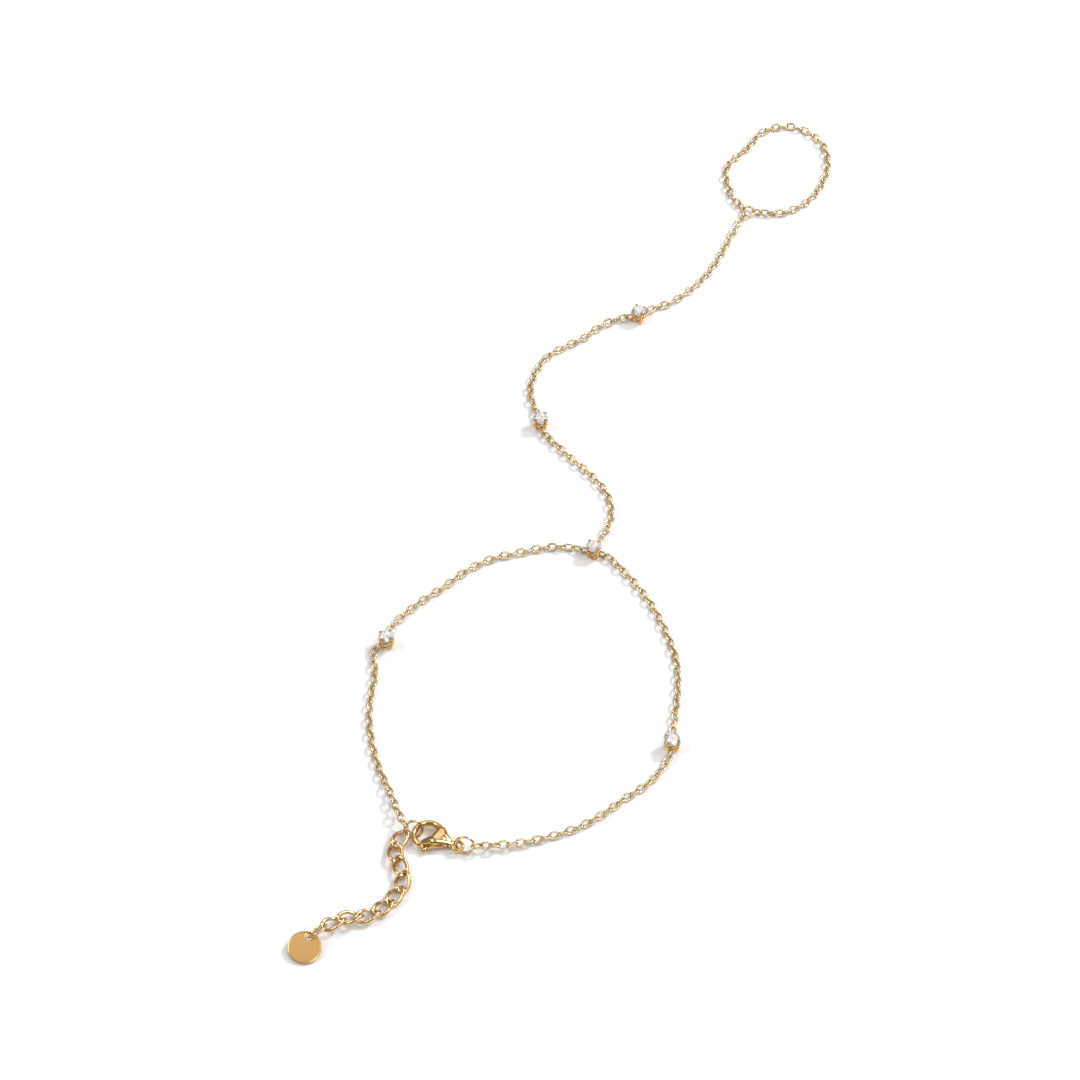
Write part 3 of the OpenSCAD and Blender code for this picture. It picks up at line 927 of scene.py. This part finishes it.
@dataclass
class Chains:
    """The eight runs of cable chain and the curb chain of the extender. Sizes in metres."""

    tree: LinkTree
    cable: LinkShape = LinkShape(
        length=0.00218, width=0.0015, wire=0.0003, play=0.00015,
        end_length=0.00075, plump=0.00007, slim=0.000035, short=0.000035,
    )
    curb: LinkShape = LinkShape(
        length=0.00445, width=0.0031, wire=0.00055, play=0.00012, end_length=0.00195,
        end_turn=45.0, around=28, sides=10, plump=0.0001, slim=0.00018,
    )
    cable_lean: float = 45.0
    curb_z: float = 0.00078
    base_outer: float = 0.0025
    base_wire: float = 0.0004
    finger: Ring = Ring((0.0385, 0.0766), 0.00275, 0.00042)
    clasp_ring: Ring = Ring((-0.012, -0.0631), 0.0034, 0.00042, (69.0, -11.0, -4.5))
    end_ring: Ring = Ring((-0.0203, -0.06), 0.0033, 0.00042, (55.5, -3.0, 12.0))
    tag_ring: Ring = Ring((-0.035, -0.0791), 0.0038, 0.00042, (130.0, 49.0, 9.5))

    def base(self, seat: Seat) -> Ring:
        """The base ring of a setting."""
        return Ring(seat.at, self.base_outer, self.base_wire)

    def routes(self) -> dict[str, Route]:
        """Gives the ways of the cable chains.

        Returns:
            A route for each node name.
        """
        base = self.base
        return {
            "chain_clasp_to_right": Route(
                ChainEnd(self.clasp_ring, -3, 10),
                ChainEnd(base(Seat.RIGHT), 263, 255),
                (
                    (-0.004, -0.0625), (0.001, -0.0611), (0.006, -0.0592),
                    (0.0105, -0.0563), (0.0133, -0.0539), (0.018, -0.0502),
                ),
            ),
            "chain_right_to_centre": Route(
                ChainEnd(base(Seat.RIGHT), 93, 85),
                ChainEnd(base(Seat.CENTRE), 350, 345),
                (
                    (0.0228, -0.032), (0.0228, -0.0268), (0.0216, -0.0216),
                    (0.0198, -0.0166), (0.0174, -0.0119), (0.0144, -0.0075),
                ),
            ),
            "chain_centre_to_left": Route(
                ChainEnd(base(Seat.CENTRE), 158, 160),
                ChainEnd(base(Seat.LEFT), 88, 80),
                (
                    (0.0014, -0.0021), (-0.0035, -0.0032), (-0.0083, -0.0046),
                    (-0.0126, -0.0072), (-0.0163, -0.0106), (-0.0202, -0.0138),
                ),
            ),
            "chain_end_to_left": Route(
                ChainEnd(self.end_ring, 161, 123),
                ChainEnd(base(Seat.LEFT), 212, 196),
                (
                    (-0.0245, -0.0522), (-0.0262, -0.0478), (-0.0274, -0.0431),
                    (-0.0281, -0.0383), (-0.028, -0.0335), (-0.0275, -0.0297),
                ),
            ),
            "chain_centre_to_middle": Route(
                ChainEnd(base(Seat.CENTRE), 72, 70),
                ChainEnd(base(Seat.MIDDLE), 282, 288),
                (
                    (0.0123, 0.005), (0.0119, 0.0086), (0.0103, 0.0119),
                    (0.008, 0.0148), (0.0055, 0.0175), (0.0031, 0.0203),
                ),
            ),
            "chain_middle_to_upper": Route(
                ChainEnd(base(Seat.MIDDLE), 106, 102),
                ChainEnd(base(Seat.UPPER), 176, 177),
                (
                    (-0.0017, 0.0335), (-0.0007, 0.0376), (0.0013, 0.0411),
                    (0.005, 0.0438), (0.0079, 0.0456), (0.0106, 0.0481),
                ),
            ),
            "chain_upper_to_finger": Route(
                ChainEnd(base(Seat.UPPER), 53, 46),
                ChainEnd(self.finger, 228, 240),
                (
                    (0.0237, 0.0541), (0.0268, 0.0567), (0.0295, 0.0597),
                    (0.0317, 0.0631), (0.0335, 0.0667), (0.0351, 0.0704),
                ),
            ),
            "finger_loop_chain": Route(
                ChainEnd(self.finger, -5, -5),
                ChainEnd(self.finger, 135, 128),
                (
                    (0.044, 0.0762), (0.0488, 0.0785), (0.0525, 0.0837), (0.0539, 0.0894),
                    (0.0525, 0.095), (0.0476, 0.0986), (0.0425, 0.0976), (0.039, 0.0931),
                    (0.0348, 0.0873), (0.035, 0.0832), (0.0362, 0.0794),
                ),
            ),
        }

    def extender_route(self) -> Route:
        """Gives the way of the extender.

        Returns:
            Its route from the end ring to the tag's ring.
        """
        return Route(
            ChainEnd(self.end_ring, 219, 224),
            ChainEnd(self.tag_ring, 7, 6),
            (
                (-0.0232, -0.0641), (-0.0224, -0.0664), (-0.0218, -0.0692), (-0.0233, -0.0727),
                (-0.0252, -0.0747), (-0.0276, -0.0761), (-0.03, -0.0764),
            ),
        )

    def build(self, finishes: Finishes) -> None:
        """Makes and dresses every chain.

        Args:
            finishes: The bracelet's finishes.
        """
        lean = math.radians(self.cable_lean)
        cable_z = self.cable.half_width * math.sin(lean) + self.cable.wire / 2 + Route.floor_gap
        for node, route in self.routes().items():
            places = route.places(self.cable, (self.cable_lean, 0.0), cable_z)
            chain = self.tree.chain(node + "_links", places, self.cable, finishes.chain)
            dress(chain, Slot.CHAIN, Side.BRACELET, [node])
        places = self.extender_route().places(self.curb, (0.0, self.curb.end_turn), self.curb_z)
        chain = self.tree.chain("extender_links", places, self.curb, finishes.extender)
        dress(chain, Slot.CHAIN, Side.BRACELET, ["extender_chain"])


# ---------------------------------------------------------------- rings and settings


@dataclass
class JumpRings:
    """The four wire rings."""

    rings: dict[str, Ring]
    around: int = 64
    sides: int = 16

    def build(self, finishes: Finishes) -> None:
        """Makes and dresses every ring.

        Args:
            finishes: The bracelet's finishes.
        """
        for node, ring in self.rings.items():
            mould = Mould()
            line = [ring.point(360.0 * k / self.around) / MM for k in range(self.around)]
            half = ring.wire / 2 / MM
            plane = ring.across.cross(ring.up)
            mould.tube(line, [(half, half)] * self.around, self.sides, True, plane)
            piece = mould.object(node + "_wire")
            piece.data.shade_smooth()
            to_metres(piece, laid((0.0, 0.0)))
            dress(piece, Slot.RING, Side.BRACELET, [node], finishes.ring)


@dataclass
class Settings:
    """Five claw settings: base ring, gallery ring and four claws with grey tips. Sizes in mm.

    The domes are the rounded ends of a claw: the way out, the way up and the half thickness of
    each step, all as shares of the claw's half thickness.
    """

    base_d: float = 2.1
    base_wire: float = 0.4
    base_z: float = 0.77
    gallery_d: float = 2.32
    gallery_wire: float = 0.3
    gallery_z: float = 1.85
    hoop_steps: int = 40
    stone_d: float = 2.6
    girdle_z: float = 2.7
    crown_h: float = 0.4
    claws: int = 4
    claw_d: float = 0.36
    claw_steps: int = 4
    foot_in: float = 0.08
    knee_out: float = 0.03
    seat_out: float = 0.06
    tip_in: float = 0.2
    tip_down: float = 0.06
    foot_dome: tuple[Triple, ...] = ((0.0, -0.85, 0.5), (0.0, -0.5, 0.85))
    tip_dome: tuple[Triple, ...] = ((0.0, 0.0, 1.05), (-0.6, 0.3, 0.85), (-0.9, 0.4, 0.45))
    grey_tip_h: float = 0.12
    sides: int = 12

    def _hoop(self, mould: Mould, d: float, wire: float, z: float) -> None:
        """Adds a soldered ring."""
        line = [Vector((x, y, z)) for x, y in circle(d / 2, self.hoop_steps)]
        mould.tube(line, [(wire / 2, wire / 2)] * self.hoop_steps, self.sides, True, UP)

    def _claw_line(self) -> list[Triple]:
        """Draws the claw's centre line from foot to tip.

        Returns:
            Distance from the middle, height and half thickness at each step.
        """
        half = self.claw_d / 2
        foot = (self.base_d / 2 - self.foot_in, half)
        knee = (self.base_d / 2 + self.knee_out, self.base_z)
        seat = (self.stone_d / 2 + self.seat_out, self.girdle_z)
        tip = (self.stone_d / 2 - self.tip_in, self.girdle_z + self.crown_h - self.tip_down)
        marks = [foot, knee, seat, tip]
        line = [(foot[0] + half * x, foot[1] + half * z, half * r) for x, z, r in self.foot_dome]
        for (x0, z0), (x1, z1) in zip(marks, marks[1:]):
            for k in range(self.claw_steps):
                t = k / self.claw_steps
                line.append((x0 + (x1 - x0) * t, z0 + (z1 - z0) * t, half))
        line += [(tip[0] + half * x, tip[1] + half * z, half * r) for x, z, r in self.tip_dome]
        return line

    def build(self, finishes: Finishes) -> None:
        """Makes and dresses every setting.

        Args:
            finishes: The bracelet's finishes.
        """
        line = self._claw_line()
        radii = [(r, r) for _, _, r in line]
        for seat in Seat:
            mould = Mould()
            self._hoop(mould, self.base_d, self.base_wire, self.base_z)
            self._hoop(mould, self.gallery_d, self.gallery_wire, self.gallery_z)
            for k in range(self.claws):
                turn = Matrix.Rotation(math.radians(360 * k / self.claws), 3, "Z")
                points = [turn @ Vector((x, 0.0, z)) for x, z, _ in line]
                mould.tube(points, radii, self.sides, False, turn @ Vector((0, 1, 0)))
            node = "setting_" + seat.name.lower()
            piece = mould.object(node + "_basket")
            piece.data.materials.append(finishes.basket)
            piece.data.materials.append(finishes.tips)
            # The claws' faces above this height, near their tips, get the grey finish.
            for face in piece.data.polygons:
                if face.center.z > self.girdle_z - self.grey_tip_h:
                    face.material_index = 1
            piece.data.shade_smooth()
            to_metres(piece, laid(seat.at, turn=seat.turn))
            dress(piece, Slot.SETTING, Side.BRACELET, [node])


@dataclass
class Stones:
    """The five stones, whose facets come with the part."""

    nodes: dict[str, bpy.types.Object]

    def build(self, finishes: Finishes) -> None:
        """Gives the stones their finish.

        Args:
            finishes: The bracelet's finishes.
        """
        for name, node in self.nodes.items():
            if name.startswith("stone_"):
                node.data.materials.clear()
                node.data.materials.append(finishes.stone)
                log.info("%s: finish", name)


# ---------------------------------------------------------------- tag and clasp


@dataclass
class Tag:
    """The round tag, plain, with a soft rim and its hole; its rim is painted a darker gold as
    shade. Its place in metres, its sizes in mm.
    """

    at: Point2 = (-0.0369, -0.0818)
    tilt: float = 17.0
    d: float = 5.3
    t: float = 0.5
    edge_steps: int = 96
    hole_d: float = 1.1
    hole_turn: float = 68.0
    hole_margin: float = 0.3
    hole_steps: int = 40
    bevel: float = 0.18
    bevel_steps: int = 3
    bevel_from: float = 50.0
    crisp_from: float = 8.0
    face_level: float = 0.99

    def _hole(self) -> bpy.types.Object:
        """Makes the drill for the tag's hole.

        Returns:
            The tool, which stands through the tag.
        """
        reach = (self.d - self.hole_d) / 2 - self.hole_margin
        turn = math.radians(self.hole_turn)
        drill = Mould()
        middle = (reach * math.cos(turn), reach * math.sin(turn))
        drill.plate(circle(self.hole_d / 2, self.hole_steps, middle), (-self.t, self.t))
        return drill.object("tag_hole")

    def build(self, finishes: Finishes) -> None:
        """Makes and dresses the tag.

        Args:
            finishes: The bracelet's finishes.
        """
        mould = Mould()
        mould.plate(circle(self.d / 2, self.edge_steps), (-self.t / 2, self.t / 2))
        piece, hole = mould.object("tag_blank"), self._hole()
        cut = piece.modifiers.new("hole", "BOOLEAN")
        cut.operation, cut.object, cut.solver = "DIFFERENCE", hole, "EXACT"
        bevel = piece.modifiers.new("rim", "BEVEL")
        bevel.width, bevel.segments = self.bevel, self.bevel_steps
        bevel.limit_method, bevel.angle_limit = "ANGLE", math.radians(self.bevel_from)
        piece = baked(piece, "tag_disc")
        bpy.data.objects.remove(hole)
        piece.data.shade_smooth()
        piece.data.set_sharp_from_angle(angle=math.radians(self.crisp_from))
        piece.data.materials.append(finishes.tag)
        piece.data.materials.append(finishes.tag_rim)
        # Faces that don't face straight up or down, the rim and side wall, get the darker gold:
        # painted shade along the tag's edge.
        for face in piece.data.polygons:
            face.material_index = 0 if abs(face.normal.z) > self.face_level else 1
        tilt = math.radians(self.tilt)
        z = self.d / 2 * math.sin(tilt) + self.t / 2 * math.cos(tilt)
        to_metres(piece, laid(self.at, z) @ Matrix.Rotation(tilt, 4, "X"))
        dress(piece, Slot.CLASP, Side.BRACELET, ["tag"])


@dataclass(frozen=True)
class Corner:
    """A rounded corner of an outline: its middle, radius and two angles in degrees."""

    at: Point2
    r: float
    first: float
    last: float


@dataclass(frozen=True)
class HookShape:
    """The clasp's hook, whose wire swells at the root and rounds off at its end. Sizes in mm.

    The taper and the swell are changes of the wire's half width and half height.
    """

    middle: Point2 = (5.2, -0.45)
    radius: float = 2.25
    first: float = -145.0
    sweep: float = 235.0
    half: Point2 = (0.54, 0.62)
    taper: Point2 = (0.1, 0.06)
    swell: Point2 = (0.1, 0.3)
    swell_run: float = 0.2
    round_from: float = 0.94
    round_run: float = 0.07
    round_least: float = 0.3
    steps: int = 40
    sides: int = 20

    def add_to(self, mould: Mould) -> None:
        """Adds the hook to a mould.

        Args:
            mould: The clasp's mould.
        """
        way = arc(self.middle, self.radius, self.first, self.first + self.sweep, self.steps)
        radii = []
        for k in range(self.steps + 1):
            t = k / self.steps
            root = max(0.0, 1 - t / self.swell_run)
            tip = max(0.0, (t - self.round_from) / self.round_run)
            end = max(math.sqrt(max(0.0, 1 - tip ** 2)), self.round_least)
            wide = self.half[0] - self.taper[0] * t + self.swell[0] * root
            tall = self.half[1] - self.taper[1] * t + self.swell[1] * root
            radii.append((wide * end, tall * end))
        mould.tube([Vector((x, y, 0.0)) for x, y in way], radii, self.sides, False, UP)


@dataclass(frozen=True)
class LeverShape:
    """The clasp's lever: two layers, a sloping wedge and a thumb nub. Sizes in mm.

    Each span is the bottom and top of a layer, measured from the clasp's middle plane.
    """

    length: float = 3.88
    tip_gap: float = 0.02
    hub_r: float = 0.75
    hub: Point2 = (125.0, 255.0)
    bottom: float = 16.6
    top: float = 36.2
    top_inset_turn: float = 7.0
    inner_edge: tuple[Point2, ...] = ((3.0, -0.82), (4.0, -0.53), (4.6, -0.02))
    outer_edge: tuple[Point2, ...] = ((4.6, 2.0), (4.0, 1.7), (3.0, 1.2))
    middle_span: Point2 = (-0.43, -0.04)
    slot_span: Point2 = (-0.3, 0.4)
    slot_inset: float = 0.42
    slot_until: float = 2.7
    low_span: Point2 = (-0.82, -0.04)
    low_from: float = 2.3
    wedge_span: Point2 = (-0.3, 2.15)
    wedge_fall: Point2 = (0.29, 0.1)
    wedge_root: Triple = (2.33, -2.0, 34.0)
    wedge_edge: tuple[Point2, ...] = (
        (4.8, 1.55), (5.3, 1.6), (5.72, 1.42), (5.84, 1.08), (5.25, 0.54), (4.6, -0.02),
    )
    nub_at: Triple = (4.85, 2.2, -0.36)
    nub_size: Triple = (0.54, 0.5, 0.48)
    steps: int = 12
    hub_steps: int = 13
    wedge_steps: int = 22

    def outline(self, rivet: Point2, inset: float) -> list[Point2]:
        """Draws the lever's outline in the clasp's plane.

        Args:
            rivet: The place that it turns on.
            inset: How far its outer edge stands back.

        Returns:
            Points around it.
        """
        hub = arc(rivet, self.hub_r, *self.hub, self.hub_steps)
        top = self.top - self.top_inset_turn * inset
        tip = arc(rivet, self.length - self.tip_gap, self.bottom, top, self.steps)
        return [*hub, *self.inner_edge, *tip, *((x, y - inset) for x, y in self.outer_edge)]

    def add_to(self, mould: Mould, rivet: Point2) -> None:
        """Adds the lever to a mould.

        Args:
            mould: The lever's mould.
            rivet: The place that it turns on.
        """
        whole = self.outline(rivet, 0.0)
        inner = self.outline(rivet, self.slot_inset)
        mould.plate(whole, self.middle_span)
        mould.plate([p for p in inner if math.dist(p, rivet) < self.slot_until], self.slot_span)
        mould.plate([p for p in whole if math.dist(p, rivet) > self.low_from], self.low_span)
        root = arc(rivet, *self.wedge_root, self.wedge_steps)
        mould.plate([*root, *self.wedge_edge], self.wedge_span, self.wedge_fall)
        mould.ball(self.nub_at, self.nub_size)


@dataclass
class Clasp:
    """The lobster clasp: a full body with hook and eye, a lever and a rivet.

    Its eye's place is in metres, its sizes are in millimetres and its angles in degrees.
    """

    eye_at: Point2 = (-0.0132, -0.063)
    turn: float = 161.0
    thick: float = 2.2
    rivet_at: Point2 = (2.2, 0.0)
    hook: HookShape = HookShape()
    lever: LeverShape = LeverShape()
    shoulder_half: float = 1.08
    shoulder_fullness: float = 3.4
    shoulder_thin: Triple = (0.65, 0.46, 2.4)
    shoulder: tuple[Corner, ...] = (
        Corner((1.15, 0.0), 0.5, 108.0, 250.0),
        Corner((2.35, -0.35), 0.98, 228.0, 240.0),
        Corner((3.3, -1.55), 0.88, -128.0, 6.0),
        Corner((3.85, 0.42), 0.88, -8.0, 102.0),
    )
    corner_steps: int = 12
    eye_r: float = 0.87
    eye_half: Point2 = (0.28, 0.4)
    eye_steps: int = 40
    eye_sides: int = 14
    neck: tuple[Triple, ...] = ((0.85, 0.42, 0.42), (1.25, 0.52, 0.6), (1.7, 0.6, 0.7))
    neck_sides: int = 20
    slot_r: float = 2.2
    slot_h: float = 1.02
    slot_back: float = 0.86
    slot_steps: int = 48
    sweep_from: float = 2.27
    sweep_gap: float = 0.06
    sweep_turn: Point2 = (-27.0, 61.0)
    sweep_steps: int = 22
    body_grain: float = 0.045
    body_relax: int = 12
    lever_grain: float = 0.036
    lever_relax: int = 2
    relax_share: float = 0.5
    crisp_from: float = 48.0

    @property
    def place(self) -> Matrix:
        """Matrix from the clasp's own plane to the part, in millimetres."""
        return laid(self.eye_at, self.thick / 2, math.radians(self.turn))

    def _merge(self, mould: Mould, name: str, grain: float, relax_steps: int) -> bpy.types.Object:
        """Melts overlapping shells into one skin.

        Args:
            mould: The shells.
            name: Name of the raw shells.
            grain: Size of the remesh's cubes.
            relax_steps: Number of times that the skin is smoothed.

        Returns:
            The skin.
        """
        raw = mould.object(name)
        remesh = raw.modifiers.new("skin", "REMESH")
        remesh.mode, remesh.voxel_size, remesh.use_smooth_shade = "VOXEL", grain, True
        relax = raw.modifiers.new("relax", "SMOOTH")
        relax.factor, relax.iterations = self.relax_share, relax_steps
        return baked(raw, name + "_skin")

    def _cut(self, body: bpy.types.Object, tool: bpy.types.Object, name: str) -> bpy.types.Object:
        """Takes a tool's space out of a body.

        Args:
            body: The body, which is removed.
            tool: The tool, which is removed.
            name: Name of the result.

        Returns:
            What is left of the body.
        """
        cut = body.modifiers.new("cut", "BOOLEAN")
        cut.operation, cut.object, cut.solver = "DIFFERENCE", tool, "EXACT"
        done = baked(body, name)
        bpy.data.objects.remove(tool)
        return done

    def _body(self) -> bpy.types.Object:
        """Makes shoulder, hook, eye and neck as one skin.

        Returns:
            The body without its slot.
        """
        mould = Mould()
        outline = []
        for corner in self.shoulder:
            outline += arc(corner.at, corner.r, corner.first, corner.last, self.corner_steps)
        mould.pillow(outline, self.shoulder_half, self.shoulder_fullness, self.shoulder_thin)
        self.hook.add_to(mould)
        eye = [Vector((x, y, 0.0)) for x, y in circle(self.eye_r, self.eye_steps)]
        mould.tube(eye, [self.eye_half] * self.eye_steps, self.eye_sides, True, UP)
        neck = [Vector((x, 0.0, 0.0)) for x, _, _ in self.neck]
        radii = [(wide, tall) for _, wide, tall in self.neck]
        mould.tube(neck, radii, self.neck_sides, False, UP)
        return self._merge(mould, "clasp_raw", self.body_grain, self.body_relax)

    def _slotted(self, body: bpy.types.Object) -> bpy.types.Object:
        """Cuts the lever's slot and the room for its wedge.

        Args:
            body: The body's skin.

        Returns:
            The finished shell.
        """
        slot = Mould()
        reach = math.degrees(math.acos(-self.slot_back / self.slot_r))
        outline = arc(self.rivet_at, self.slot_r, -reach, reach, self.slot_steps)
        slot.plate(outline, (-self.slot_h / 2, self.slot_h / 2))
        body = self._cut(body, slot.object("slot_tool"), "clasp_slotted")
        sweep = Mould()
        first, last = self.sweep_turn
        inner = arc(self.rivet_at, self.sweep_from, first, last, self.sweep_steps)
        reach = self.lever.length + self.sweep_gap
        outer = arc(self.rivet_at, reach, last, first, self.sweep_steps)
        sweep.plate([*inner, *outer], (-self.thick, self.thick))
        return self._cut(body, sweep.object("sweep_tool"), "clasp_shell")

    def build(self, finishes: Finishes, nodes: dict[str, bpy.types.Object]) -> None:
        """Makes and dresses the clasp.

        Args:
            finishes: The bracelet's finishes.
            nodes: The part's nodes, for the rivet.
        """
        body = self._slotted(self._body())
        body.data.shade_smooth()
        body.data.set_sharp_from_angle(angle=math.radians(self.crisp_from))
        to_metres(body, self.place)
        dress(body, Slot.CLASP, Side.BRACELET, ["clasp_body"], finishes.clasp)
        mould = Mould()
        self.lever.add_to(mould, self.rivet_at)
        lever = self._merge(mould, "lever_raw", self.lever_grain, self.lever_relax)
        lever.name = lever.data.name = "clasp_lever_piece"
        lever.data.shade_smooth()
        to_metres(lever, self.place)
        dress(lever, Slot.CLASP, Side.LEVER, ["clasp_lever"], finishes.clasp)
        rivet = nodes["clasp_rivet"]
        rivet.data.materials.clear()
        rivet.data.materials.append(finishes.ring)
        log.info("%s: finish", rivet.name)


# ---------------------------------------------------------------- studio


@dataclass(frozen=True)
class Lamp:
    """A round softbox that looks at the bracelet.

    Its azimuth is in degrees from the right towards the back, its elevation in degrees over the
    floor, its distance and diameter in metres, and its glow is the brightness of its face.
    """

    name: str
    azimuth: float
    elevation: float
    far: float
    size: float
    glow: float

    def hang(self) -> None:
        """Adds the lamp to the scene."""
        light = bpy.data.lights.new(self.name, "AREA")
        light.shape, light.size = "DISK", self.size
        light.energy = self.glow * math.pi * math.pi * self.size * self.size / 4
        lamp = bpy.data.objects.new(self.name, light)
        a, e = math.radians(self.azimuth), math.radians(self.elevation)
        way = Vector((math.cos(a) * math.cos(e), math.sin(a) * math.cos(e), math.sin(e)))
        lamp.location = way * self.far
        lamp.rotation_euler = (-lamp.location).to_track_quat("-Z", "Y").to_euler()
        bpy.context.scene.collection.objects.link(lamp)


@dataclass
class Studio:
    """Floor, light and camera. Lengths in metres, the lens in millimetres, angles in degrees."""

    camera_at: Triple = (0.0, -0.3643, 0.4663)
    elevation: float = 52.0
    lens: float = 115.0
    sensor: float = 36.0
    clip: Point2 = (0.01, 20.0)
    floor_half: float = 3.0
    floor_drop: float = 0.00002
    glow: float = 0.26
    lamps: tuple[Lamp, ...] = (
        Lamp("key", 30.0, 46.0, 1.1, 0.2, 58.0),
        Lamp("top", 90.0, 86.0, 1.3, 0.7, 0.55),
        Lamp("back", 95.0, 50.0, 1.3, 1.0, 1.1),
        Lamp("left", 180.0, 50.0, 1.3, 0.6, 5.0),
        Lamp("front", 300.0, 58.0, 1.3, 0.5, 4.6),
        Lamp("right", 355.0, 55.0, 1.3, 0.5, 4.6),
    )

    def floor(self) -> None:
        """Makes the pale floor."""
        bm = bmesh.new()
        bmesh.ops.create_grid(bm, x_segments=1, y_segments=1, size=self.floor_half)
        mesh = bpy.data.meshes.new("floor")
        bm.to_mesh(mesh)
        bm.free()
        floor = add_object("floor", mesh)
        floor.data.transform(Matrix.Translation((0, 0, -self.floor_drop)))
        floor.data.materials.append(FloorFinish().build())

    def camera(self) -> None:
        """Sets up the camera at the photo's angle."""
        camera = bpy.data.cameras.new("camera")
        camera.lens, camera.sensor_width = self.lens, self.sensor
        camera.clip_start, camera.clip_end = self.clip
        eye = bpy.data.objects.new("camera", camera)
        eye.location = Vector(self.camera_at) - Vector((*LAID_MID, 0.0))
        eye.rotation_euler = (math.radians(90.0 - self.elevation), 0.0, 0.0)
        bpy.context.scene.collection.objects.link(eye)
        bpy.context.scene.camera = eye

    def build(self) -> None:
        """Sets up the whole studio."""
        self.floor()
        bpy.context.scene.view_settings.view_transform = "Standard"
        world = bpy.data.worlds.new("studio")
        bpy.context.scene.world = world
        world.use_nodes = True
        tree = Tree(world.node_tree)
        light = {"Color": (1.0, 1.0, 1.0, 1.0), "Strength": self.glow}
        back = tree.add("ShaderNodeBackground", light)
        tree.add("ShaderNodeOutputWorld", {"Surface": back.outputs[0]})
        for lamp in self.lamps:
            lamp.hang()
        self.camera()


def main() -> None:
    """Builds every piece of the bracelet and the studio around it."""
    logging.basicConfig(level=logging.INFO, format="%(name)s: %(message)s")
    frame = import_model()
    nodes = frame["nodes"]
    finishes = Finishes.make()
    chains = Chains(LinkTree())
    chains.build(finishes)
    JumpRings(
        {
            "finger_ring": chains.finger,
            "clasp_ring": chains.clasp_ring,
            "end_ring": chains.end_ring,
            "tag_ring": chains.tag_ring,
        }
    ).build(finishes)
    Settings().build(finishes)
    Stones(nodes).build(finishes)
    Tag().build(finishes)
    Clasp().build(finishes, nodes)
    Studio().build()


if __name__ == "__main__":
    main()
